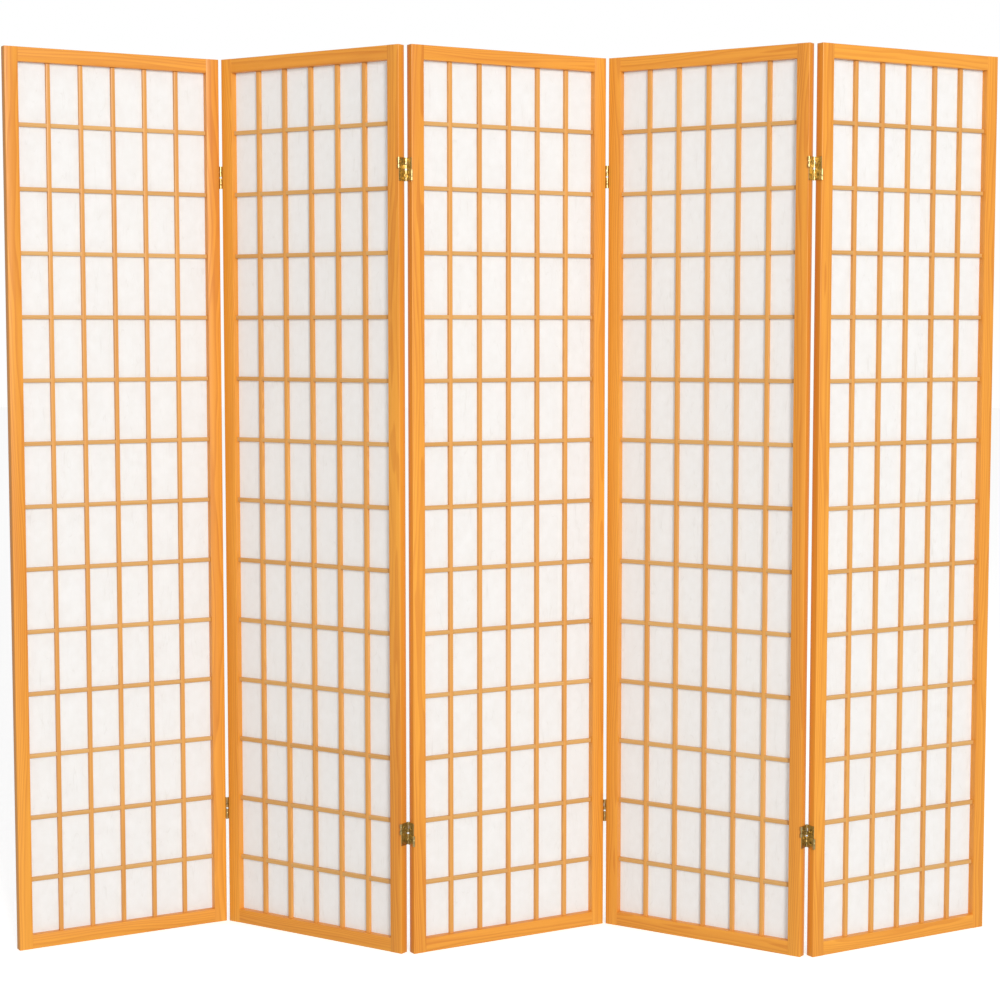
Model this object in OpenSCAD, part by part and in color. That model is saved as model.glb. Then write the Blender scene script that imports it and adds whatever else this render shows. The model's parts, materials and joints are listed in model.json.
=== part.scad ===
// Folding shoji screen: five paper-backed lattice panels that stand in a zigzag,
// joined by two-way brass hinges. A panel is a mortised wooden frame with a
// half-lapped lattice let into it and one sheet of paper glued behind the lattice.
//
// Frame of the model: the middle of the third panel stands over the origin, the
// floor is z = 0, the row of panels runs along X and its front faces -Y.
// Frame of one panel: x runs along it from its left end face, y from its front
// face to its back face, z up from the floor.

/* [Screen] */
// Width of one panel, over its stiles
panel_w = 444.5; // [380:0.5:540]
// Height of the screen
panel_h = 1784; // [1450:1:2150]
// Thickness of the panel frames
panel_t = 19; // [18:0.5:24]
// How far each hinge is turned from flat, in degrees
fold = 63; // [35:1:120]

/* [Frame] */
// Width of a stile's face
stile_w = 27; // [22:0.5:36]
// Height of a rail's face
rail_h = 28; // [22:0.5:40]
// Chamfer along the frame's outer edges
edge_chamfer = 0.8; // [0.4:0.1:1.2]
// How far a rail's tenon goes into the stile
tenon_l = 16; // [10:0.5:18]
// Thickness of a rail's tenon
tenon_t = 6.5; // [5:0.5:8]
// Shoulder above and below a tenon
tenon_shoulder = 5; // [4:0.5:8]
// Glue clearance around tenons and lattice ends
glue_gap = 0.1; // [0.05:0.05:0.2]

/* [Lattice] */
// Panes in one row
columns = 6; // [4:1:8]
// Rows of panes in one panel
rows = 14; // [8:1:16]
// Face width of a lattice bar
bar_w = 8; // [6:0.5:10]
// Depth of a lattice bar, from its front to the paper
bar_d = 7.5; // [6:0.5:8]
// How far the lattice lies behind the frame's front face
lattice_set_back = 7.4; // [5:0.1:8]
// How much lower than the others the bottom row of panes is
short_row = 9.6; // [0:0.1:20]
// How far a lattice bar's end goes into the frame
bar_end = 4; // [3:0.5:6]

/* [Paper] */
// Thickness of the laminated paper
paper_t = 0.4; // [0.2:0.1:1]
// Width of the rebate ledge that the paper's edge is glued to
rebate_w = 5; // [4:0.5:8]
// Gap between the paper's edge and the rebate's side
paper_gap = 0.5; // [0.3:0.1:1]

/* [Hinges] */
// Height of the upper hinges' middle below the top of the screen
upper_hinge_drop = 238; // [150:1:320]
// Height of the lower hinges' middle above the floor
lower_hinge_rise = 240; // [150:1:320]
// Height of a hinge
hinge_h = 45; // [40:1:60]
// Gap between the hinge's upper and lower halves
half_gap = 3.5; // [2:0.5:6]
// Thickness of the brass sheet
sheet_t = 0.9; // [0.7:0.1:1]
// Gap between two layers of a closed hinge
layer_gap = 0.15; // [0.1:0.05:0.3]
// Radius of a hinge pin
pin_r = 1.45; // [1.2:0.05:1.6]
// Running clearance between a pin and its knuckles
pin_clear = 0.05; // [0.03:0.01:0.1]
// Gap between a knuckle and the face of the wood, and between folded panels' knuckles
knuckle_clear = 0.2; // [0.1:0.05:0.5]
// End gap between two knuckles
knuckle_gap = 0.15; // [0.1:0.05:0.3]

/* [Screws] */
// Distance between a leaf's two screws
screw_pitch = 25; // [20:0.5:30]
// Radius of a screw's shank
shank_r = 1.4; // [1.2:0.1:1.8]
// Radius of a screw's countersunk head
head_r = 2.7; // [2.2:0.1:3]
// Length of a screw
screw_l = 14; // [10:1:18]
// Clearance around a screw
screw_clear = 0.05; // [0.03:0.01:0.1]
// Gap around a screw head in the link's access hole
access_gap = 0.4; // [0.3:0.1:0.8]
// Width of the cross recess in a screw head
recess_w = 0.7; // [0.5:0.1:0.9]
// Length of the cross recess
recess_l = 3; // [2:0.1:3.5]
// Depth of the cross recess
recess_depth = 0.7; // [0.4:0.1:1]

/* [Hidden] */
$fn = 48;
panels = 5;
PANELS = [1:panels];
JOINTS = [1:panels - 1];
// the panel that stands over the origin
middle = 3;
// cuts run this far past the faces they open through
past = 1;
// a knuckle's tongue starts this far inside its plate
tongue_root = 1;
// and leaves this much metal between its end and the bore
tongue_stop = 0.09;

paper_y = lattice_set_back + bar_d;
pane_w = (panel_w - 2 * stile_w - (columns - 1) * bar_w) / columns;
pane_h = (panel_h - 2 * rail_h - (rows - 1) * bar_w + short_row) / rows;
tenon_h = rail_h - 2 * tenon_shoulder;

bore_r = pin_r + pin_clear;
knuckle_r = bore_r + sheet_t;
pin_out = knuckle_r + knuckle_clear;
hinge_gap = 3 * sheet_t + 2 * layer_gap;
half_h = (hinge_h - half_gap) / 2;
knuckle_h = (half_h - 2 * knuckle_gap) / 3;
head_depth = head_r - shank_r;
hinge_heights = [lower_hinge_rise, panel_h - upper_hinge_drop];
screw_heights = [for (h = hinge_heights, side = [-1, 1]) h + side * screw_pitch / 2];

wood = "#eda04c";
lattice_wood = "#e2a25c";
washi = "#f3f0ea";
brass = "#b08a3e";
screw_brass = "#cda95a";

function each_panel(name) = [for (i = PANELS) str(name, "_", i)];
function each_joint(name) = [for (k = JOINTS) joint_name(name, k)];
function joint_name(name, k) = str(name, "_", k, "_", k + 1);

// ---- where the panels stand ----

function heading(i) = (i % 2 == 1 ? 1 : -1) * fold / 2;
// a step of x along panel i and y towards its back, seen from above
function step(i, x, y) = let (a = heading(i)) [x * cos(a) - y * sin(a), x * sin(a) + y * cos(a)];
// joint k joins panels k and k + 1: the odd ones lie at the back of the zigzag and
// turn on their front pins, the even ones stand forward and turn on their back pins
function turns_at_front(k) = k % 2 == 1;
function pin_y(k) = turns_at_front(k) ? -pin_out : panel_t + pin_out;
function right_pin(k) = step(k, panel_w + hinge_gap / 2, pin_y(k));
function left_pin(k) = step(k + 1, -hinge_gap / 2, pin_y(k));
function origin(i) =
    i == middle ? -step(i, panel_w / 2, panel_t / 2)
    : i > middle ? origin(i - 1) + right_pin(i - 1) - left_pin(i - 1)
    : origin(i + 1) + left_pin(i) - right_pin(i);

module place(i) {
    translate([origin(i).x, origin(i).y, 0]) rotate([0, 0, heading(i)]) children();
}

// the same piece at the panel's other end
module at_right_end() {
    translate([panel_w, 0, 0]) mirror([1, 0, 0]) children();
}

// ---- the lattice's places ----

function upright_x(c) = stile_w + c * pane_w + (c - 1) * bar_w;
function crossbar_z(r) = panel_h - rail_h - r * (pane_h + bar_w);
UPRIGHTS = [1:columns - 1];
CROSSBARS = [1:rows - 1];

// ---- wooden frame ----

// a board along Z whose outer edges, at x = 0, are chamfered
module stile_blank() {
    c = edge_chamfer;
    linear_extrude(height = panel_h)
        polygon([[c, 0], [stile_w, 0], [stile_w, panel_t], [c, panel_t], [0, panel_t - c], [0, c]]);
}

// screw holes in a stile's end face, at x = 0, each with its countersink
module pilot_holes() {
    for (z = screw_heights)
        translate([-past, panel_t / 2, z])
            rotate([0, 90, 0]) {
                cylinder(r = shank_r + screw_clear, h = screw_l + past);
                cylinder(r1 = head_r - sheet_t + past + screw_clear, r2 = shank_r + screw_clear,
                         h = head_depth - sheet_t + past);
            }
}

module stile(hinged) {
    g = glue_gap;
    tenon_y = (panel_t - tenon_t) / 2;
    difference() {
        stile_blank();
        // mortises for the two rails
        for (z = [tenon_shoulder, panel_h - rail_h + tenon_shoulder])
            translate([stile_w - tenon_l - g, tenon_y - g, z - g])
                cube([tenon_l + g + past, tenon_t + 2 * g, tenon_h + 2 * g]);
        // sockets for the crossbars
        for (r = CROSSBARS)
            translate([stile_w - bar_end - g, lattice_set_back - g, crossbar_z(r) - g])
                cube([bar_end + g + past, bar_d + 2 * g, bar_w + 2 * g]);
        // rebate for the paper, stopped at its ends
        translate([stile_w - rebate_w, paper_y, rail_h - rebate_w])
            cube([rebate_w + past, panel_t - paper_y + past, panel_h - 2 * rail_h + 2 * rebate_w]);
        if (hinged) pilot_holes();
    }
}

// the bottom rail; the top rail is the same piece turned over
module rail() {
    c = edge_chamfer;
    g = glue_gap;
    rail_l = panel_w - 2 * stile_w;
    difference() {
        union() {
            translate([stile_w, 0, 0])
                rotate([90, 0, 90])
                    linear_extrude(height = rail_l)
                        polygon([[c, 0], [panel_t - c, 0], [panel_t, c], [panel_t, rail_h],
                                 [0, rail_h], [0, c]]);
            translate([stile_w - tenon_l, (panel_t - tenon_t) / 2, tenon_shoulder])
                cube([rail_l + 2 * tenon_l, tenon_t, tenon_h]);
        }
        // sockets for the uprights
        for (k = UPRIGHTS)
            translate([upright_x(k) - g, lattice_set_back - g, rail_h - bar_end - g])
                cube([bar_w + 2 * g, bar_d + 2 * g, bar_end + g + past]);
        // rebate for the paper
        translate([stile_w, paper_y, rail_h - rebate_w])
            cube([rail_l, panel_t - paper_y + past, rebate_w + past]);
    }
}

module stile_left(i) { color(wood) place(i) stile(i > 1); }
module stile_right(i) { color(wood) place(i) at_right_end() stile(i < panels); }
module rail_bottom(i) { color(wood) place(i) rail(); }
module rail_top(i) {
    color(wood) place(i) translate([0, 0, panel_h]) mirror([0, 0, 1]) rail();
}

// ---- lattice: uprights run in front, crossbars are notched behind them ----

module lattice_uprights(i) {
    lap = bar_d / 2;
    color(lattice_wood) place(i)
        for (k = UPRIGHTS)
            difference() {
                translate([upright_x(k), lattice_set_back, rail_h - bar_end])
                    cube([bar_w, bar_d, panel_h - 2 * rail_h + 2 * bar_end]);
                for (r = CROSSBARS)
                    translate([upright_x(k) - past, lattice_set_back + lap, crossbar_z(r)])
                        cube([bar_w + 2 * past, lap + past, bar_w]);
            }
}

module lattice_crossbars(i) {
    lap = bar_d / 2;
    color(lattice_wood) place(i)
        for (r = CROSSBARS)
            difference() {
                translate([stile_w - bar_end, lattice_set_back, crossbar_z(r)])
                    cube([panel_w - 2 * stile_w + 2 * bar_end, bar_d, bar_w]);
                for (k = UPRIGHTS)
                    translate([upright_x(k), lattice_set_back - past, crossbar_z(r) - past])
                        cube([bar_w, lap + past, bar_w + 2 * past]);
            }
}

// one sheet, glued to the lattice's back and to the rebate's ledge
module paper(i) {
    side = stile_w - rebate_w + paper_gap;
    end = rail_h - rebate_w + paper_gap;
    color(washi) place(i)
        translate([side, paper_y, end]) cube([panel_w - 2 * side, paper_t, panel_h - 2 * end]);
}

// ---- two-way hinges ----
// Frame of a flat hinge: x across the gap between two panels, from its middle; y from
// the panels' front face; z from the hinge's middle. Each leaf has a barrel at the
// front in one half and at the back in the other; a link ties the two leaves' barrels
// in each half, so a joint can turn on its front pins or on its back pins.

function barrel_z(half) = half > 0 ? half_gap / 2 : -hinge_h / 2;
function barrel_y(front) = front ? -pin_out : panel_t + pin_out;

// knuckle n of the three in a half, with the tongue that reaches it from sheet x0
module knuckle(front, half, n, x0) {
    near = bore_r + tongue_stop;
    reach = pin_out + tongue_root - near;
    translate([0, barrel_y(front), barrel_z(half) + n * (knuckle_h + knuckle_gap)]) {
        cylinder(r = knuckle_r, h = knuckle_h);
        translate([x0, front ? near : -near - reach, 0]) cube([sheet_t, reach, knuckle_h]);
    }
}

module barrel_bore(front, half) {
    translate([0, barrel_y(front), barrel_z(half) - past])
        cylinder(r = bore_r, h = half_h + 2 * past);
}

// the countersunk screw's shape, head at x = 0 and shank towards -x
module screw_shape(extra) {
    rotate([0, -90, 0]) {
        cylinder(r1 = head_r + extra, r2 = shank_r + extra, h = head_depth);
        cylinder(r = shank_r + extra, h = screw_l);
    }
}

// the leaf on the end of a left-hand panel
module leaf() {
    x0 = -hinge_gap / 2;
    difference() {
        union() {
            translate([x0, 0, -hinge_h / 2]) cube([sheet_t, panel_t, hinge_h]);
            for (n = [0, 2]) {
                knuckle(true, 1, n, x0);
                knuckle(false, -1, n, x0);
            }
        }
        barrel_bore(true, 1);
        barrel_bore(false, -1);
        for (z = [-1, 1] * screw_pitch / 2)
            translate([x0 + sheet_t, panel_t / 2, z]) screw_shape(screw_clear);
    }
}

module leaf_pins() {
    translate([0, barrel_y(true), barrel_z(1)]) cylinder(r = pin_r, h = half_h);
    translate([0, barrel_y(false), barrel_z(-1)]) cylinder(r = pin_r, h = half_h);
}

module leaf_screws() {
    for (z = [-1, 1] * screw_pitch / 2)
        translate([sheet_t - hinge_gap / 2, panel_t / 2, z])
            difference() {
                screw_shape(0);
                for (turn = [0, 90])
                    rotate([turn, 0, 0])
                        cube([2 * recess_depth, recess_w, recess_l], center = true);
            }
}

// half = 1 is the link of the upper half, -1 that of the lower half
module link(half) {
    x0 = -sheet_t / 2;
    difference() {
        union() {
            translate([x0, 0, barrel_z(half)]) cube([sheet_t, panel_t, half_h]);
            knuckle(true, half, 1, x0);
            knuckle(false, half, 1, x0);
        }
        barrel_bore(true, half);
        barrel_bore(false, half);
        translate([0, panel_t / 2, half * screw_pitch / 2])
            rotate([0, 90, 0])
                cylinder(r = head_r + access_gap, h = sheet_t + 2 * past, center = true);
    }
}

// children given in the frame of a flat hinge, at both heights of panel i's right end
module at_right_hinges(i) {
    if (i < panels)
        for (z = hinge_heights)
            translate([panel_w + hinge_gap / 2, 0, z]) children();
}

// the same at its left end
module at_left_hinges(i) {
    if (i > 1)
        for (z = hinge_heights)
            translate([-hinge_gap / 2, 0, z]) children();
}

// a right-hand panel's leaf is a left-hand one turned half round
module half_turn() {
    translate([0, panel_t, 0]) rotate([0, 0, 180]) children();
}

module hinge_leaves(i) {
    color(brass) place(i) {
        at_right_hinges(i) leaf();
        at_left_hinges(i) half_turn() leaf();
    }
}

module hinge_pins(i) {
    color(brass) place(i) {
        at_right_hinges(i) leaf_pins();
        at_left_hinges(i) half_turn() leaf_pins();
    }
}

module hinge_screws(i) {
    color(screw_brass) place(i) {
        at_right_hinges(i) leaf_screws();
        at_left_hinges(i) half_turn() leaf_screws();
    }
}

// A link lies flat against the leaf that it doesn't turn on. Where the joint turns
// on its front pins, the upper links stay with the right-hand panel; where it turns
// on its back pins, they stay with the left-hand one. The lower links do the reverse.
module links(k, half) {
    with_right = turns_at_front(k) == (half > 0);
    color(brass)
        if (with_right) place(k + 1) at_left_hinges(k + 1) link(half);
        else place(k) at_right_hinges(k) link(half);
}

for (i = PANELS) {
    stile_left(i);
    stile_right(i);
    rail_top(i);
    rail_bottom(i);
    lattice_uprights(i);
    lattice_crossbars(i);
    paper(i);
    hinge_leaves(i);
    hinge_pins(i);
    hinge_screws(i);
}
for (k = JOINTS) {
    links(k, 1);
    links(k, -1);
}
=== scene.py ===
# %% [markdown]
# # A folding shoji screen
# Five panels stand in a zigzag. Each is a frame of two stiles and two rails, with a thin lattice
# let into it and a sheet of white paper behind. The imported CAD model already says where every
# piece is. This script makes each piece again as a joiner would leave it, with eased edges,
# grain that runs along each board, fibres in the paper and hinges rolled from sheet brass.

# %% Load the frame
import json
import math

import bmesh
import bpy
from mathutils import Euler, Matrix, Vector

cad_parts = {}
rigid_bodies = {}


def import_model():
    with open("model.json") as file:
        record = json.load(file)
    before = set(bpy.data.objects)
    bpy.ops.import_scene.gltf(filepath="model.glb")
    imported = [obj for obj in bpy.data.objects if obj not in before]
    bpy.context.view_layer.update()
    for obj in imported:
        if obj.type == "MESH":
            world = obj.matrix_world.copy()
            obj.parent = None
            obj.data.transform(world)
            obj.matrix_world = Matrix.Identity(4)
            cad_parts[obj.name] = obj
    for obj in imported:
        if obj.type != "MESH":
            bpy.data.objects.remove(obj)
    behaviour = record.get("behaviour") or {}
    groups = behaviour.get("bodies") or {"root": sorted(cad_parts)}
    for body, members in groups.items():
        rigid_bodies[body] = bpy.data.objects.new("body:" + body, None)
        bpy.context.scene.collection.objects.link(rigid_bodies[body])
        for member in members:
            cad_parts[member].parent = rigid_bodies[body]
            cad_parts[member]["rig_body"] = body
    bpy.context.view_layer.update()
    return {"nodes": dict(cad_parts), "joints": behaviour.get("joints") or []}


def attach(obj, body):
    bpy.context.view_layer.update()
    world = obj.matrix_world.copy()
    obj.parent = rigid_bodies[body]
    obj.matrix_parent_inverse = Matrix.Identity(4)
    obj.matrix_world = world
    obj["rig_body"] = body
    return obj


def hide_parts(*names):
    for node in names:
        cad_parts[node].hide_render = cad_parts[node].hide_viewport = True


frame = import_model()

nodes = frame["nodes"]
joints = {joint["name"]: joint for joint in frame["joints"]}
mm = 0.001
X, Y, Z = 0, 1, 2
PANELS = range(1, 6)

# %% [markdown]
# ## Where the panels stand
# A panel has its own axes: x along it, y from its front face to its back, z up. Working in them
# keeps every board a straight box. The paper's largest face looks straight back, which gives the
# panel's turn, and the left stile's lowest corner gives its origin. The matrix made from these
# two takes any piece from its panel to the place where it stands.

# %% Panel frames, measured from the CAD


def panel_frame(i):
    """The matrix from panel i's own axes to where it stands."""
    back = max(nodes[f"paper_{i}"].data.polygons, key=lambda face: face.area).normal.copy()
    if back.y < 0:
        back.negate()
    turn = Matrix.Rotation(math.atan2(-back.x, back.y), 4, "Z")
    corners = [turn.inverted() @ v.co for v in nodes[f"stile_left_{i}"].data.vertices]
    corner = Vector([min(c[axis] for c in corners) for axis in (X, Y, Z)])
    return turn @ Matrix.Translation(corner)


stands = {i: panel_frame(i) for i in PANELS}
headings = {i: stands[i].to_euler().z for i in PANELS}
for i in PANELS:
    print("panel", i, "turned", round(math.degrees(headings[i]), 2), "degrees")

# %% [markdown]
# ## Reading the joiner's marks
# A joiner lays a marked stick against the work instead of measuring again. Here the marks are the
# different coordinates that a CAD piece's corners have along one axis of the middle panel. Two
# marks next to each other are the two sides of one bar.

# %% Marks along the middle panel
MIDDLE = 3
SAME_MARK = 0.05 * mm
to_panel = stands[MIDDLE].inverted()


def marks(kind, axis):
    """The sorted coordinates of a node's corners along an axis of the middle panel."""
    found = {round((to_panel @ v.co)[axis], 5) for v in nodes[f"{kind}_{MIDDLE}"].data.vertices}
    merged = []
    for value in sorted(found):
        if not merged or value - merged[-1] > SAME_MARK:
            merged.append(value)
    return merged


def pairs(values):
    """A list of marks as (near side, far side) pairs."""
    return list(zip(values[::2], values[1::2]))


panel_h = marks("stile_left", Z)[-1]
panel_t = marks("stile_left", Y)[-1]
stile_w = marks("stile_left", X)[-1]
panel_w = marks("stile_right", X)[-1]
rail_h = marks("rail_bottom", Z)[-1]
rail_ends = (marks("rail_bottom", X)[0], marks("rail_bottom", X)[-1])
upright_sides = pairs(marks("lattice_uprights", X))
upright_ends = (marks("lattice_uprights", Z)[0], marks("lattice_uprights", Z)[-1])
crossbar_sides = pairs(marks("lattice_crossbars", Z))
crossbar_ends = (marks("lattice_crossbars", X)[0], marks("lattice_crossbars", X)[-1])
lattice_front, lattice_lap, lattice_back = marks("lattice_uprights", Y)
paper_box = [(marks("paper", axis)[0], marks("paper", axis)[-1]) for axis in (X, Y, Z)]
print("panel", panel_w, panel_t, panel_h, "stile", stile_w, "rail", rail_h)
print(len(upright_sides), "uprights and", len(crossbar_sides), "crossbars in a panel")

# %% [markdown]
# ## Tools of the workshop
# A board starts as a cube that is scaled to its size and has its edges eased by a bevel, because
# lacquer doesn't hold on a sharp edge. Joints are then cut into it with a Boolean modifier, as a
# saw and a chisel would. Modelling the notches by hand, loop by loop, would give the same
# shape with far more steps. A finished piece is a plain mesh that can be laid down many times.

# %% Boards, cuts and copies
AXES = (Vector((1, 0, 0)), Vector((0, 1, 0)), Vector((0, 0, 1)))
IDENTITY = Matrix.Identity(4)
SHARP_FROM = math.radians(35)


def box(bm, low, high):
    """Adds a box between two corners to bm and returns its corners."""
    low, high = Vector(low), Vector(high)
    verts = bmesh.ops.create_cube(bm, size=1)["verts"]
    bmesh.ops.scale(bm, vec=high - low, verts=verts)
    bmesh.ops.translate(bm, vec=(low + high) / 2, verts=verts)
    return verts


def long_edges(bm, axis):
    """The edges that run along an axis."""
    return [e for e in bm.edges
            if abs((e.verts[1].co - e.verts[0].co).normalized()[axis]) > 0.9]


def ease(bm, edges, size, segments=3):
    """Rounds edges over."""
    bmesh.ops.bevel(bm, geom=edges, offset=size, offset_type="OFFSET", segments=segments,
                    profile=0.5, affect="EDGES", material=-1, clamp_overlap=True)


def to_mesh(bm, name):
    """A finished bmesh as a mesh."""
    mesh = bpy.data.meshes.new(name)
    bm.to_mesh(mesh)
    bm.free()
    return mesh


def with_modifier(mesh, kind, **settings):
    """The mesh as a modifier leaves it."""
    work = bpy.data.objects.new("work", mesh)
    bpy.context.scene.collection.objects.link(work)
    modifier = work.modifiers.new(kind, kind)
    for name, value in settings.items():
        setattr(modifier, name, value)
    shape = work.evaluated_get(bpy.context.evaluated_depsgraph_get())
    made = bpy.data.meshes.new_from_object(shape)
    bpy.data.objects.remove(work)
    return made


def joined(mesh, bm, operation="DIFFERENCE"):
    """The mesh with the shape in bm cut from it, or with UNION added to it."""
    tool = bpy.data.objects.new("tool", to_mesh(bm, "tool"))
    bpy.context.scene.collection.objects.link(tool)
    made = with_modifier(mesh, "BOOLEAN", object=tool, operation=operation, solver="EXACT")
    bpy.data.objects.remove(tool)
    return made


def lay(name, node, copies, material):
    """One piece from (mesh, matrix) copies. It stands for a CAD node and rides on its body."""
    bm = bmesh.new()
    for mesh, matrix in copies:
        known = len(bm.verts)
        bm.from_mesh(mesh)
        bm.verts.ensure_lookup_table()
        fresh = bm.verts[known:]
        bmesh.ops.transform(bm, matrix=matrix, verts=fresh)
        if matrix.determinant() < 0:
            bmesh.ops.reverse_faces(bm, faces=list({f for v in fresh for f in v.link_faces}))
    mesh = to_mesh(bm, name)
    mesh.shade_smooth()
    mesh.set_sharp_from_angle(angle=SHARP_FROM)
    mesh.materials.append(material)
    piece = bpy.data.objects.new(name, mesh)
    bpy.context.scene.collection.objects.link(piece)
    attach(piece, nodes[node]["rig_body"])
    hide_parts(node)
    return piece


# %% [markdown]
# ## Shader maths as Python
# A material is a small formula. Written as nodes it is long and hard to read, so one class wraps
# a socket and turns `+`, `-`, `*` and `/` into Math nodes. Every other node comes from one method
# that takes the node's type, its settings and what goes into its sockets.

# %% The wire class


class Wire:
    """A socket of a material's node tree, with arithmetic."""

    def __init__(self, tree, socket=None):
        self.tree = tree
        self.socket = socket

    def node(self, kind, settings=None, inputs=None, out=0):
        """Adds a node and returns the wire that leaves it."""
        made = self.tree.nodes.new("ShaderNode" + kind)
        for name, value in (settings or {}).items():
            if name == "stops":
                set_stops(made.color_ramp, value)
            else:
                setattr(made, name, value)
        for key, value in (inputs or {}).items():
            if isinstance(value, Wire):
                self.tree.links.new(value.socket, made.inputs[key])
            else:
                made.inputs[key].default_value = value
        return Wire(self.tree, made.outputs[out])

    def math(self, operation, *values):
        """A Math node on these values."""
        return self.node("Math", {"operation": operation}, dict(enumerate(values)))

    def __add__(self, other):
        return self.math("ADD", self, other)

    def __radd__(self, other):
        return self.math("ADD", other, self)

    def __sub__(self, other):
        return self.math("SUBTRACT", self, other)

    def __rsub__(self, other):
        return self.math("SUBTRACT", other, self)

    def __mul__(self, other):
        return self.math("MULTIPLY", self, other)

    def __rmul__(self, other):
        return self.math("MULTIPLY", other, self)

    def __truediv__(self, other):
        return self.math("DIVIDE", self, other)

    def noise(self, scale, detail=2.0, roughness=0.5, distortion=0.0):
        """Noise from 0 to 1 on this vector."""
        return self.node("TexNoise", {"noise_dimensions": "3D"},
                         {"Vector": self, "Scale": scale, "Detail": detail,
                          "Roughness": roughness, "Distortion": distortion})

    def ramp(self, *stops):
        """This value through (position, grey) stops."""
        return self.node("ValToRGB", {"stops": stops}, {"Fac": self})

    def mix(self, low, high):
        """The colour low where this value is 0, and high where it is 1."""
        return self.node("Mix", {"data_type": "RGBA"}, {0: self, 6: low, 7: high}, out=2)

    def scaled(self, size, turn=(0, 0, 0), shift=(0, 0, 0)):
        """This vector through a Mapping node."""
        return self.node("Mapping", {"vector_type": "POINT"},
                         {"Vector": self, "Location": shift, "Rotation": turn, "Scale": size})


def set_stops(ramp, stops):
    """Fills a colour ramp with (position, grey) stops."""
    while len(ramp.elements) < len(stops):
        ramp.elements.new(1)
    for element, (position, grey) in zip(ramp.elements, stops):
        element.position = position
        element.color = (grey, grey, grey, 1)


def new_material(name):
    """An empty material, and the wire that its nodes start from."""
    material = bpy.data.materials.new(name)
    material.use_nodes = True
    material.node_tree.nodes.clear()
    return material, Wire(material.node_tree)


def finish_material(wire, shader):
    """Leads a shader to the material's output."""
    output = wire.tree.nodes.new("ShaderNodeOutputMaterial")
    wire.tree.links.new(shader.socket, output.inputs["Surface"])


# %% [markdown]
# ## Lacquered wood
# A tree grows in rings, and a board is a slice through them. So the grain isn't drawn on the
# faces. It is a solid pattern: the distance from the tree's heart, with a little wobble, cut into
# rings that darken slowly and end sharply. The heart lies behind each board's front face and
# wanders along it, which gives the wide, pointed figures of flat-sawn stock. Ends show the rings
# as arcs. A honey-coloured lacquer covers it all.

# %% The wood material
RING = 3.2 * mm
HEART_DEPTH = 34 * mm
HEART_WANDER = 70 * mm
WOBBLE = 9 * mm
# How much the rings, the streaks, the fibres and the slow change of tone each darken the wood.
GRAIN = (0.5, 0.75, 0.3, 0.7)
FRAME_LIGHT = (0.88, 0.372, 0.042, 1)
FRAME_DARK = (0.63, 0.196, 0.017, 1)
UPRIGHT_LIGHT = (0.78, 0.372, 0.085, 1)
UPRIGHT_DARK = (0.60, 0.24, 0.045, 1)
CROSSBAR_LIGHT = (0.72, 0.41, 0.14, 1)
CROSSBAR_DARK = (0.56, 0.26, 0.06, 1)


def wood(name, i, middle, along, light, dark, seed):
    """Wood for a board of panel i around a middle point, grain along X or Z of the panel.

    The seed moves the board to another place in the tree.
    """
    material, start = new_material(name)
    place = start.node("TexCoord", out=3)
    turn = Euler((0, 0, -headings[i]))
    shift = -(turn.to_matrix() @ (stands[i] @ Vector(middle)))
    local = place.scaled((1, 1, 1), turn=turn, shift=shift)
    parts = {axis: local.node("SeparateXYZ", None, {0: local}, out=axis) for axis in (X, Y, Z)}
    length = parts[along]
    side = parts[Z if along == X else X]
    board = start.node("CombineXYZ", None, {0: side + seed * 0.37, 1: parts[Y] + seed * 0.11,
                                            2: length + seed * 1.3})
    drift = board.scaled((1.0, 1.0, 1.6)).noise(1.0, detail=1.0)
    wobble = board.scaled((30.0, 30.0, 3.0)).noise(1.0, detail=2.0, roughness=0.6)
    across = side + (drift - 0.5) * HEART_WANDER + math.sin(seed * 7.1) * 16 * mm
    depth = parts[Y] + HEART_DEPTH + math.cos(seed * 3.3) * 10 * mm
    radius = start.math("SQRT", across * across + depth * depth)
    ring = start.math("FRACT", (radius + (wobble - 0.5) * WOBBLE) / RING)
    late = ring.ramp((0.0, 0.0), (0.4, 0.15), (0.8, 0.85), (0.92, 0.8), (1.0, 0.0))
    fibre = board.scaled((900.0, 900.0, 22.0)).noise(1.0, detail=1.0)
    streak = board.scaled((120.0, 120.0, 2.6)).noise(1.0, detail=2.0, roughness=0.6)
    tone = board.scaled((9.0, 9.0, 1.4)).noise(1.0, detail=0.0)
    grain = (late - 0.4) * GRAIN[0] + (streak - 0.5) * GRAIN[1] + (fibre - 0.5) * GRAIN[2]
    grain = grain + (tone - 0.5) * GRAIN[3] + 0.42
    colour = start.math("MINIMUM", start.math("MAXIMUM", grain, 0.0), 1.0).mix(light, dark)
    bump = start.node("Bump", None, {"Strength": 0.1, "Distance": 0.08 * mm, "Height": fibre})
    shader = start.node("BsdfPrincipled", None, {
        "Base Color": colour, "Roughness": 0.4 + late * 0.06 + (fibre - 0.5) * 0.1,
        "IOR": 1.45, "Coat Weight": 0.15, "Coat Roughness": 0.25, "Normal": bump})
    finish_material(start, shader)
    return material


# %% [markdown]
# ## Stiles
# The upright members of a frame run its full height. Each is eased on its outer edges, has a
# mortise for each rail, a row of sockets for the crossbars and a rebate at the back for the
# paper, which stops before the ends so that it doesn't show there. The right stile is the left
# one mirrored. Screws bite straight into the wood, so no holes are drilled for them.

# %% Cut the stiles
OUTER_EASE = 1.15 * mm
INNER_EASE = 0.3 * mm
GLUE_GAP = 0.1 * mm
LEDGE = 5 * mm
TENON_SHOULDER = 5 * mm
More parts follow.
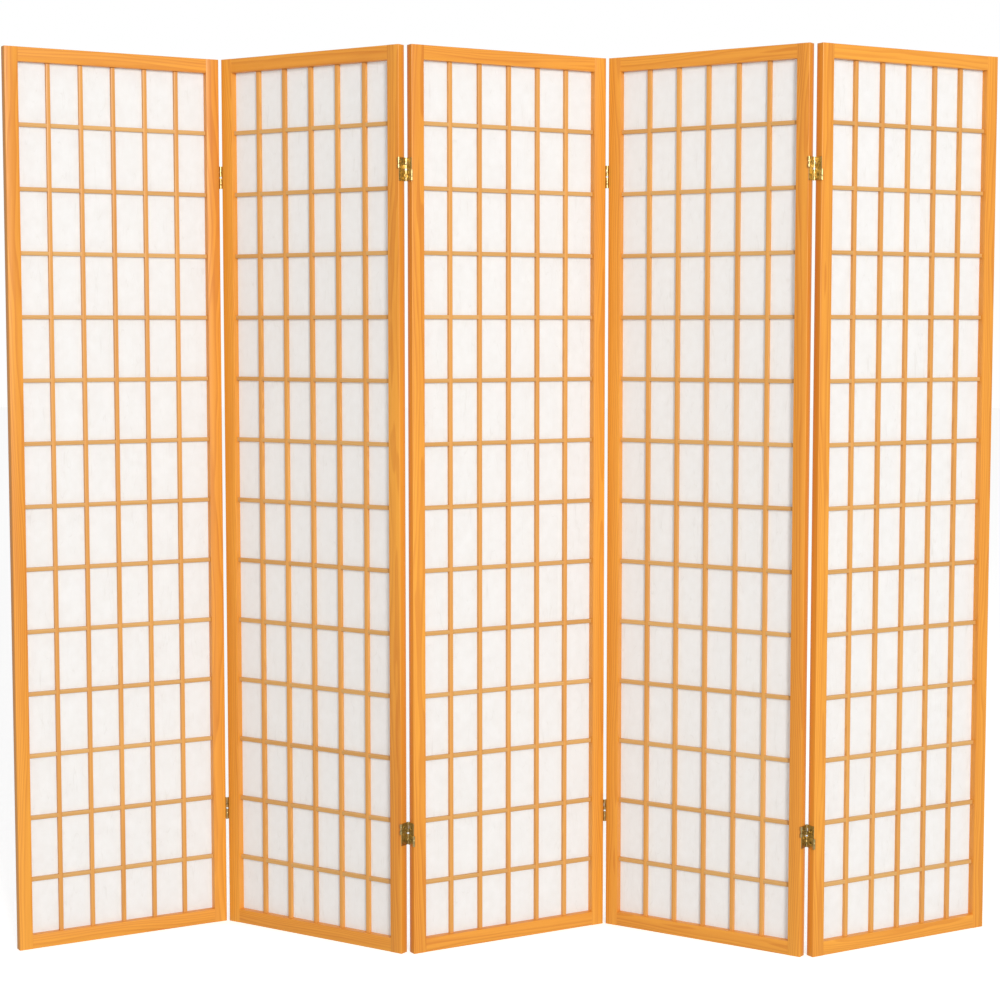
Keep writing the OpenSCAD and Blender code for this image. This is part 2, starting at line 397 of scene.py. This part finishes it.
# How far a cutting shape reaches past the wood, so that no skin is left.
PAST = 2 * mm
tenon_y = [y for y in marks("rail_bottom", Y) if TENON_SHOULDER < y < panel_t - TENON_SHOULDER][:2]
tenon_z = (TENON_SHOULDER, rail_h - TENON_SHOULDER)
rebate_x = stile_w - LEDGE
rebate_z = rail_h - LEDGE


def grown(low, high, gap=GLUE_GAP):
    """Two corners moved apart by a gap."""
    return [v - gap for v in low], [v + gap for v in high]


def stile():
    """A left stile in its panel's axes."""
    bm = bmesh.new()
    box(bm, (0, 0, 0), (stile_w, panel_t, panel_h))
    outer = [e for e in long_edges(bm, Z) if e.verts[0].co.x < stile_w / 2]
    ease(bm, outer, OUTER_EASE)
    ease(bm, [e for e in long_edges(bm, Z) if e.verts[0].co.x > stile_w - mm], INNER_EASE, 2)
    mesh = to_mesh(bm, "stile")
    cut = bmesh.new()
    box(cut, (rebate_x, lattice_back, rebate_z),
        (stile_w + PAST, panel_t + PAST, panel_h - rebate_z))
    mesh = joined(mesh, cut)
    cut = bmesh.new()
    for low, high in crossbar_sides:
        box(cut, *grown((crossbar_ends[0], lattice_front, low),
                        (stile_w + PAST, lattice_back, high)))
    for base in (0, panel_h - rail_h):
        box(cut, *grown((rail_ends[0], tenon_y[0], base + tenon_z[0]),
                        (stile_w + PAST, tenon_y[1], base + tenon_z[1])))
    return joined(mesh, cut)


stile_mesh = stile()
print("stile:", len(stile_mesh.polygons), "faces")

# %% [markdown]
# ## Rails
# A rail lies between the stiles and holds on by a tenon at each end. It has the same eased outer
# edges, the same rebate, and a socket for each upright. Its ends stay square, because they meet
# the stiles in a butt joint that shows as a fine line. The top rail is the bottom one turned over.

# %% Cut the rails


def rail():
    """A bottom rail in its panel's axes."""
    bm = bmesh.new()
    box(bm, (stile_w, 0, 0), (panel_w - stile_w, panel_t, rail_h))
    ease(bm, [e for e in long_edges(bm, X) if e.verts[0].co.z < rail_h / 2], OUTER_EASE)
    ease(bm, [e for e in long_edges(bm, X) if e.verts[0].co.z > rail_h - mm], INNER_EASE, 2)
    mesh = to_mesh(bm, "rail")
    tenon = bmesh.new()
    box(tenon, (rail_ends[0], tenon_y[0], tenon_z[0]), (rail_ends[1], tenon_y[1], tenon_z[1]))
    mesh = joined(mesh, tenon, "UNION")
    cut = bmesh.new()
    box(cut, (stile_w - PAST, lattice_back, rebate_z),
        (panel_w - stile_w + PAST, panel_t + PAST, rail_h + PAST))
    mesh = joined(mesh, cut)
    cut = bmesh.new()
    for low, high in upright_sides:
        box(cut, *grown((low, lattice_front, upright_ends[0]),
                        (high, lattice_back, rail_h + PAST)))
    return joined(mesh, cut)


rail_mesh = rail()
print("rail:", len(rail_mesh.polygons), "faces")

# %% [markdown]
# ## The lattice
# Uprights run whole at the front, and each crossbar is notched to pass behind them, with half
# the wood taken from each. All bars of one direction are made together. The notches of the
# uprights are long boxes that cross all of them, so one cut makes the whole row.

# %% Saw the half laps
BAR_EASE = 0.6 * mm


def bars(corners, axis, notches):
    """Eased bars between pairs of corners, with the notches sawn out."""
    bm = bmesh.new()
    for low, high in corners:
        box(bm, low, high)
    ease(bm, [e for e in long_edges(bm, axis) if e.verts[0].co.y < lattice_lap], BAR_EASE, 2)
    cut = bmesh.new()
    for low, high in notches:
        box(cut, low, high)
    return joined(to_mesh(bm, "bars"), cut)


uprights_mesh = bars(
    [((low, lattice_front, upright_ends[0]), (high, lattice_back, upright_ends[1]))
     for low, high in upright_sides], Z,
    [((stile_w, lattice_lap, low), (panel_w - stile_w, lattice_back + PAST, high))
     for low, high in crossbar_sides])
crossbars_mesh = bars(
    [((crossbar_ends[0], lattice_front, low), (crossbar_ends[1], lattice_back, high))
     for low, high in crossbar_sides], X,
    [((low, lattice_front - PAST, rail_h), (high, lattice_lap, panel_h - rail_h))
     for low, high in upright_sides])
print("lattice:", len(uprights_mesh.polygons), "and", len(crossbars_mesh.polygons), "faces")

# %% [markdown]
# ## Paper
# One sheet is glued to the back of the lattice and to the ledge of the rebate. It is wetted so
# that it dries tight, yet each pane still bows a little between its bars. A grid is cut so that
# its lines fall on the bars, and the points inside each pane move back by a fraction of a
# millimetre. A cloth simulation would take minutes to show no more than that.

# %% Stretch the paper
PAPER_BOW = 0.35 * mm
PANE_CUTS = 5


def openings(sides, ends):
    """The open spans between bars, as (low, high) pairs."""
    return pairs([ends[0]] + [v for side in sides for v in side] + [ends[1]])


def pane_share(value, spans):
    """How far across its pane a coordinate is, from 0 to 1, or 0 on a bar."""
    for low, high in spans:
        if low < value < high:
            return (value - low) / (high - low)
    return 0.0


def paper():
    """The sheet in its panel's axes, its front against the lattice."""
    (x0, x1), (y0, y1), (z0, z1) = paper_box
    bm = bmesh.new()
    box(bm, (x0, y0, z0), (x1, y1, z1))
    across = openings(upright_sides, (stile_w, panel_w - stile_w))
    up = openings(crossbar_sides, (rail_h, panel_h - rail_h))
    for axis, spans in ((X, across), (Z, up)):
        cuts = {v for span in spans for v in span}
        for low, high in spans:
            cuts |= {low + (high - low) * n / PANE_CUTS for n in range(1, PANE_CUTS)}
        for value in sorted(cuts):
            bmesh.ops.bisect_plane(bm, geom=bm.verts[:] + bm.edges[:] + bm.faces[:],
                                   plane_co=AXES[axis] * value, plane_no=AXES[axis])
    for v in bm.verts:
        bow = (math.sin(math.pi * pane_share(v.co.x, across))
               * math.sin(math.pi * pane_share(v.co.z, up)))
        v.co.y += PAPER_BOW * bow
    return to_mesh(bm, "paper")


paper_mesh = paper()
print("paper:", len(paper_mesh.polygons), "faces")

# %% [markdown]
# ## The paper's finish
# Washi is made of long fibres that cross each other. Up close they show as faint grey threads
# in a cloudy white. A thread is a place where a stretched noise is close to its middle value,
# which gives long thin lines. Light from behind comes through, so a Translucent shader is mixed
# with the ordinary one.

# %% The paper material
PAPER_WHITE = (0.95, 0.945, 0.935, 1)
PAPER_CLOUD = (0.925, 0.915, 0.90, 1)
PAPER_THREAD = (0.80, 0.78, 0.75, 1)
THREAD_SHOWS = 0.35
THREAD_TURNS = (0.35, -0.6)


def threads(place, turn, seed):
    """Thin lines along a turned direction, 1 on a thread and 0 between."""
    field = place.scaled((75.0, 75.0, 10.0), turn=turn, shift=(seed, seed * 2.3, 0))
    line = field.math("ABSOLUTE", field.noise(1.0, detail=1.0) - 0.5)
    patch = field.scaled((0.5, 0.5, 1.5)).noise(1.0, detail=0.0).ramp((0.5, 0.0), (0.62, 1.0))
    return line.ramp((0.0, 1.0), (0.012, 0.0)) * patch


def washi(name, i):
    """White paper for panel i."""
    material, start = new_material(name)
    place = start.node("TexCoord", out=3).scaled((1, 1, 1), turn=(0, 0, -headings[i]))
    lines = start.math("MAXIMUM", threads(place, (0, THREAD_TURNS[0], 0), i),
                       threads(place, (0, THREAD_TURNS[1], 0), i + 9))
    cloud = place.scaled((1.0, 1.0, 0.7)).noise(80.0, detail=2.0, roughness=0.6)
    ground = cloud.ramp((0.3, 0.0), (0.7, 1.0)).mix(PAPER_WHITE, PAPER_CLOUD)
    colour = (lines * THREAD_SHOWS).mix(ground, PAPER_THREAD)
    bump = start.node("Bump", None, {"Strength": 0.1, "Distance": 0.1 * mm, "Height": cloud})
    front = start.node("BsdfPrincipled", None, {
        "Base Color": colour, "Roughness": 0.75 + (cloud - 0.5) * 0.2,
        "Specular IOR Level": 0.2, "Normal": bump})
    through = start.node("BsdfTranslucent", None, {"Color": colour})
    finish_material(start, start.node("MixShader", None, {0: 0.5, 1: front, 2: through}))
    return material


# %% [markdown]
# ## Hinges
# A two-way hinge is rolled from sheet brass. Each leaf is a plate screwed to the end of a stile,
# with two tongues rolled round a pin at the front in its upper half, and two at the back in its
# lower half. A link between the leaves has one tongue front and back. So each pin holds three
# knuckles, and a joint can fold either way. A tongue is made as it is in the press: its end face
# is drawn out to the pin and spun round it.

# %% Sizes of the hinge
leaf_z = marks("hinge_leaves", Z)
lower = [z for z in leaf_z if z < panel_h / 2]
upper = [z for z in leaf_z if z > panel_h / 2]
hinge_h = lower[-1] - lower[0]
hinge_heights = [(group[0] + group[-1]) / 2 for group in (lower, upper)]
pin_at = stands[2].inverted() @ Vector(joints["fold_2_3"]["pos_m"])
half_gap_x = pin_at.x - panel_w
pin_out = pin_at.y - panel_t
SHEET = 0.9 * mm
KNUCKLE_R = 2.4 * mm
BORE_R = KNUCKLE_R - SHEET
PIN_R = 1.45 * mm
# The gap between the hinge's upper and lower halves, and the height of a half.
HALF_GAP = 3.5 * mm
half_h = (hinge_h - HALF_GAP) / 2
KNUCKLE_GAP = 0.15 * mm
knuckle_h = (half_h - 2 * KNUCKLE_GAP) / 3
SCREW_PITCH = 25 * mm
HEAD_R, SHANK_R, SCREW_L = 2.7 * mm, 1.4 * mm, 14 * mm
HEAD_DEPTH = HEAD_R - SHANK_R
HEAD_CLEAR = 0.05 * mm
ACCESS_GAP = 0.4 * mm
print("hinge", round(hinge_h / mm, 2), "mm high at", [round(z / mm) for z in hinge_heights],
      "mm; pins stand out", round(pin_out / mm, 2), "mm")

# %% Roll the leaves and links
CURL_STEPS = 20
# A tongue meets its pin's circle at one of the first two angles and curls on to the third.
LEAF_CURL, LINK_CURL, CURL_END = (math.radians(a) for a in (123, 115, 440))
TOUCH = mm / 1000


def knuckle_span(half, n):
    """Lowest and highest z of knuckle n in the upper (1) or lower (-1) half."""
    base = HALF_GAP / 2 if half > 0 else -hinge_h / 2
    low = base + n * (knuckle_h + KNUCKLE_GAP)
    return low, low + knuckle_h


def roll(bm, side, span, first, last):
    """Draws the plate's end face within span out to the pin and spins it round it.

    side is -1 at the front and 1 at the back; the angles are for the front.
    """
    edge_y = 0 if side < 0 else panel_t
    pin = Vector((0, -pin_out if side < 0 else panel_t + pin_out, 0))
    face = next(f for f in bm.faces
                if abs(f.calc_center_median().y - edge_y) < TOUCH and abs(f.normal.y) > 0.9
                and span[0] < f.calc_center_median().z < span[1])
    drawn = bmesh.ops.extrude_face_region(bm, geom=[face])["geom"]
    end = next(g for g in drawn if isinstance(g, bmesh.types.BMFace))
    middle = end.calc_center_median().x
    for v in end.verts:
        reach = KNUCKLE_R if v.co.x < middle else BORE_R
        v.co.x = pin.x + reach * math.cos(first)
        v.co.y = pin.y - side * reach * math.sin(first)
    bmesh.ops.spin(bm, geom=[end], cent=pin, axis=(0, 0, 1), angle=-side * (last - first),
                   steps=CURL_STEPS)


def plate(low_x, span, knuckles):
    """A flat plate with rolled tongues; knuckles lists (side, half, n)."""
    bm = bmesh.new()
    box(bm, (low_x, 0, span[0]), (low_x + SHEET, panel_t, span[1]))
    for side, half, n in knuckles:
        for z in knuckle_span(half, n):
            if span[0] + TOUCH < z < span[1] - TOUCH:
                bmesh.ops.bisect_plane(bm, geom=bm.verts[:] + bm.edges[:] + bm.faces[:],
                                       plane_co=(0, 0, z), plane_no=(0, 0, 1))
    bm.normal_update()
    first = LEAF_CURL if low_x < -SHEET else LINK_CURL
    for side, half, n in knuckles:
        roll(bm, side, knuckle_span(half, n), first, CURL_END)
        bm.normal_update()
    bmesh.ops.recalc_face_normals(bm, faces=bm.faces)
    return to_mesh(bm, "plate")


def turned_to_x(bm, verts, at):
    """Turns a shape that was made along z to lie along x, and moves it."""
    bmesh.ops.rotate(bm, cent=(0, 0, 0), matrix=Matrix.Rotation(math.pi / 2, 3, "Y"), verts=verts)
    bmesh.ops.translate(bm, vec=at, verts=verts)


def cone(bm, low_r, high_r, depth, at, segments=48):
    """A cone or cylinder along x, its first end at a point."""
    verts = bmesh.ops.create_cone(bm, cap_ends=True, segments=segments, radius1=low_r,
                                  radius2=high_r, depth=depth)["verts"]
    turned_to_x(bm, verts, Vector(at) + Vector((depth / 2, 0, 0)))


def leaf():
    """The leaf on a stile's right-hand end, x from the middle of the gap."""
    low_x = -half_gap_x
    mesh = plate(low_x, (-hinge_h / 2, hinge_h / 2),
                 [(-1, 1, 0), (-1, 1, 2), (1, -1, 0), (1, -1, 2)])
    holes = bmesh.new()
    wide = HEAD_R + HEAD_CLEAR
    depth = HEAD_DEPTH + 0.3 * mm
    for z in (-SCREW_PITCH / 2, SCREW_PITCH / 2):
        cone(holes, wide - depth, wide, depth, (low_x + SHEET - depth, panel_t / 2, z))
    return joined(mesh, holes)


def link(half):
    """The link of the upper (1) or lower (-1) half, between two leaves."""
    span = (knuckle_span(half, 0)[0], knuckle_span(half, 2)[1])
    mesh = plate(-SHEET / 2, span, [(-1, half, 1), (1, half, 1)])
    hole = bmesh.new()
    wide = HEAD_R + ACCESS_GAP
    cone(hole, wide, wide, 4 * SHEET, (-2 * SHEET, panel_t / 2, half * SCREW_PITCH / 2))
    return joined(mesh, hole)


SOFT_EDGE = {"width": 0.1 * mm, "segments": 2, "limit_method": "ANGLE",
             "angle_limit": math.radians(40)}
leaf_mesh = with_modifier(leaf(), "BEVEL", **SOFT_EDGE)
link_meshes = {half: with_modifier(link(half), "BEVEL", **SOFT_EDGE) for half in (1, -1)}
print("leaf:", len(leaf_mesh.polygons), "faces; link:", len(link_meshes[1].polygons), "faces")

# %% [markdown]
# ## Pins and screws
# Both are turned pieces, so each is a half outline spun once round its axis. A screw's head
# then gets a cross recess cut into it.

# %% Turn the pins and screws
PIN_SOFT = 0.35 * mm
POINT_L = 3 * mm
RECESS_L, RECESS_W, RECESS_DEPTH = 3 * mm, 0.7 * mm, 0.7 * mm


def lathe(outline, name, segments=32):
    """Spins (radius, height) points round z into a closed piece."""
    bm = bmesh.new()
    verts = [bm.verts.new((r, 0, z)) for r, z in outline]
    edges = [bm.edges.new(pair) for pair in zip(verts, verts[1:])]
    bmesh.ops.spin(bm, geom=verts + edges, cent=(0, 0, 0), axis=(0, 0, 1), angle=math.tau,
                   steps=segments, use_merge=True)
    bmesh.ops.remove_doubles(bm, verts=bm.verts, dist=TOUCH)
    bmesh.ops.recalc_face_normals(bm, faces=bm.faces)
    return to_mesh(bm, name)


def pin():
    """A hinge pin with rounded ends, half_h long and centred."""
    end = half_h / 2
    top = [(0, end), (PIN_R - PIN_SOFT, end), (PIN_R - PIN_SOFT * 0.3, end - PIN_SOFT * 0.3),
           (PIN_R, end - PIN_SOFT)]
    return lathe(top + [(r, -z) for r, z in reversed(top)], "pin")


def screw():
    """A countersunk screw along x, its head's face at x = 0."""
    mesh = lathe([(0, 0), (HEAD_R - 0.15 * mm, 0), (HEAD_R, -0.1 * mm), (SHANK_R, -HEAD_DEPTH),
                  (SHANK_R, POINT_L - SCREW_L), (0, -SCREW_L)], "screw")
    for long_x, long_y in ((RECESS_L, RECESS_W), (RECESS_W, RECESS_L)):
        recess = bmesh.new()
        box(recess, (-long_x / 2, -long_y / 2, -RECESS_DEPTH), (long_x / 2, long_y / 2, mm))
        mesh = joined(mesh, recess)
    mesh.transform(Matrix.Rotation(math.pi / 2, 4, "Y"))
    return mesh


pin_mesh = pin()
screw_mesh = screw()
print("pin:", len(pin_mesh.polygons), "faces; screw:", len(screw_mesh.polygons), "faces")

# %% [markdown]
# ## Brass
# Bright brass dulls in the hand. The metal stays a single colour under a slightly cloudy film,
# so the noise changes how rough it is and browns it a little.

# %% The brass materials


def metal(name, bright, dull, rough):
    """Brass that is bright in some places and dull in others."""
    material, start = new_material(name)
    place = start.node("TexCoord", out=3)
    film = place.noise(240.0, detail=3.0, roughness=0.6).ramp((0.35, 0.0), (0.68, 1.0))
    rolled = place.scaled((900.0, 900.0, 6000.0)).noise(1.0, detail=1.0)
    bump = start.node("Bump", None, {"Strength": 0.15, "Distance": 0.03 * mm, "Height": rolled})
    shader = start.node("BsdfPrincipled", None, {
        "Base Color": film.mix(bright, dull), "Metallic": 1.0,
        "Roughness": rough + film * 0.14 + (rolled - 0.5) * 0.06, "Normal": bump})
    finish_material(start, shader)
    return material


brass = metal("brass", (0.72, 0.55, 0.24, 1), (0.46, 0.345, 0.135, 1), 0.26)
pin_brass = metal("pin_brass", (0.80, 0.62, 0.29, 1), (0.56, 0.42, 0.17, 1), 0.2)
screw_brass = metal("screw_brass", (0.82, 0.65, 0.32, 1), (0.60, 0.46, 0.20, 1), 0.22)

# %% [markdown]
# ## Assemble the five panels
# Every piece is laid down in each panel with that panel's matrix, in a material of its own so
# that no two boards share the same figure.

# %% Lay the wood and the paper
half_w, half_t, half_panel_h = panel_w / 2, panel_t / 2, panel_h / 2
turn_right = Matrix.Translation((panel_w, 0, 0)) @ Matrix.Diagonal((-1, 1, 1, 1))
turn_over = Matrix.Translation((0, 0, panel_h)) @ Matrix.Diagonal((1, 1, -1, 1))
frame_wood = (FRAME_LIGHT, FRAME_DARK)
wooden = (
    ("left_stile", "stile_left", stile_mesh, IDENTITY,
     (stile_w / 2, half_t, half_panel_h), Z, frame_wood),
    ("right_stile", "stile_right", stile_mesh, turn_right,
     (panel_w - stile_w / 2, half_t, half_panel_h), Z, frame_wood),
    ("bottom_rail", "rail_bottom", rail_mesh, IDENTITY,
     (half_w, half_t, rail_h / 2), X, frame_wood),
    ("top_rail", "rail_top", rail_mesh, turn_over,
     (half_w, half_t, panel_h - rail_h / 2), X, frame_wood),
    ("uprights", "lattice_uprights", uprights_mesh, IDENTITY,
     (half_w, half_t, half_panel_h), Z, (UPRIGHT_LIGHT, UPRIGHT_DARK)),
    ("crossbars", "lattice_crossbars", crossbars_mesh, IDENTITY,
     (half_w, half_t, half_panel_h), X, (CROSSBAR_LIGHT, CROSSBAR_DARK)),
)
for i in PANELS:
    for number, (kind, node, mesh, turn, middle, along, tones) in enumerate(wooden):
        grain = wood(f"{kind}_wood_{i}", i, middle, along, *tones, seed=i * 7 + number)
        lay(f"{kind}_{i}", f"{node}_{i}", [(mesh, stands[i] @ turn)], grain)
    lay(f"washi_{i}", f"paper_{i}", [(paper_mesh, stands[i])], washi(f"washi_{i}", i))
print("wood and paper laid in", len(PANELS), "panels")

# %% Hang the hinges


def right_hinges(i):
    """Matrices of the flat hinges at panel i's right end, none on the last."""
    heights = hinge_heights if i < PANELS[-1] else []
    return [stands[i] @ Matrix.Translation((panel_w + half_gap_x, 0, z)) for z in heights]


def left_hinges(i):
    """The same at its left end."""
    heights = hinge_heights if i > PANELS[0] else []
    return [stands[i] @ Matrix.Translation((-half_gap_x, 0, z)) for z in heights]


half_turn = Matrix.Translation((0, panel_t, 0)) @ Matrix.Rotation(math.pi, 4, "Z")
front_pin = Matrix.Translation((0, -pin_out, HALF_GAP / 2 + half_h / 2))
back_pin = Matrix.Translation((0, panel_t + pin_out, -HALF_GAP / 2 - half_h / 2))
screw_places = [Matrix.Translation((SHEET - half_gap_x, panel_t / 2, side * SCREW_PITCH / 2))
                for side in (-1, 1)]
for i in PANELS:
    hinges = right_hinges(i) + [m @ half_turn for m in left_hinges(i)]
    lay(f"leaves_{i}", f"hinge_leaves_{i}", [(leaf_mesh, m) for m in hinges], brass)
    lay(f"pins_{i}", f"hinge_pins_{i}",
        [(pin_mesh, m @ p) for m in hinges for p in (front_pin, back_pin)], pin_brass)
    lay(f"screws_{i}", f"hinge_screws_{i}",
        [(screw_mesh, m @ p) for m in hinges for p in screw_places], screw_brass)
for k in PANELS[:-1]:
    for kind, half in (("upper_links", 1), ("lower_links", -1)):
        with_right = (k % 2 == 1) == (half > 0)
        hinges = left_hinges(k + 1) if with_right else right_hinges(k)
        name = f"{kind}_{k}_{k + 1}"
        lay(name, f"hinge_{name}", [(link_meshes[half], m) for m in hinges], brass)

# %% [markdown]
# ## Studio
# One large lamp stands to the right of the camera and above it. It gives the panels that face it
# more light than their neighbours, and shades the left sides of the bars. A dim white room fills
# the shadows. To the camera the room and the floor look fully lit, as a cyclorama that has lamps
# of its own does, so the floor is kept from throwing that light up at the screen.

# %% Floor, light and camera
FLOOR_SIZE = 60.0
ROOM_LIGHT = 0.5
bm = bmesh.new()
bmesh.ops.create_grid(bm, x_segments=1, y_segments=1, size=FLOOR_SIZE / 2)
floor = bpy.data.objects.new("floor", to_mesh(bm, "floor"))
bpy.context.scene.collection.objects.link(floor)
floor.visible_diffuse = False
floor.visible_glossy = False
floor_paint, start = new_material("floor_paint")
finish_material(start, start.node("BsdfPrincipled", None, {
    "Base Color": (0.9, 0.9, 0.9, 1), "Roughness": 0.9, "Specular IOR Level": 0.1,
    "Emission Color": (1, 1, 1, 1), "Emission Strength": 0.5}))
floor.data.materials.append(floor_paint)

world = bpy.data.worlds.new("white_room")
bpy.context.scene.world = world
world.use_nodes = True
room = Wire(world.node_tree)
seen = room.node("LightPath", out=0)
strength = seen * (1 - ROOM_LIGHT) + ROOM_LIGHT
world.node_tree.links.new(strength.socket, world.node_tree.nodes["Background"].inputs["Strength"])
world.node_tree.nodes["Background"].inputs["Color"].default_value = (1, 1, 1, 1)


def lamp(name, at, towards, size, power):
    """A square area lamp that faces a point."""
    data = bpy.data.lights.new(name, "AREA")
    data.size = size
    data.energy = power
    made = bpy.data.objects.new(name, data)
    made.location = at
    made.rotation_euler = (Vector(towards) - Vector(at)).to_track_quat("-Z", "Y").to_euler()
    bpy.context.scene.collection.objects.link(made)
    return made


lamp("key", at=(2.4, -8.2, 3.1), towards=(0, 0, 0.9), size=2.0, power=570)

camera = bpy.data.objects.new("camera", bpy.data.cameras.new("camera"))
camera.data.sensor_width = 36.0
camera.data.lens = 77.22
camera.location = (0.1031, -4.2945, 1.2358)
camera.rotation_euler = Euler((math.radians(85.471), 0, math.radians(1.611)))
bpy.context.scene.collection.objects.link(camera)
bpy.context.scene.camera = camera
bpy.context.scene.view_settings.view_transform = "Standard"
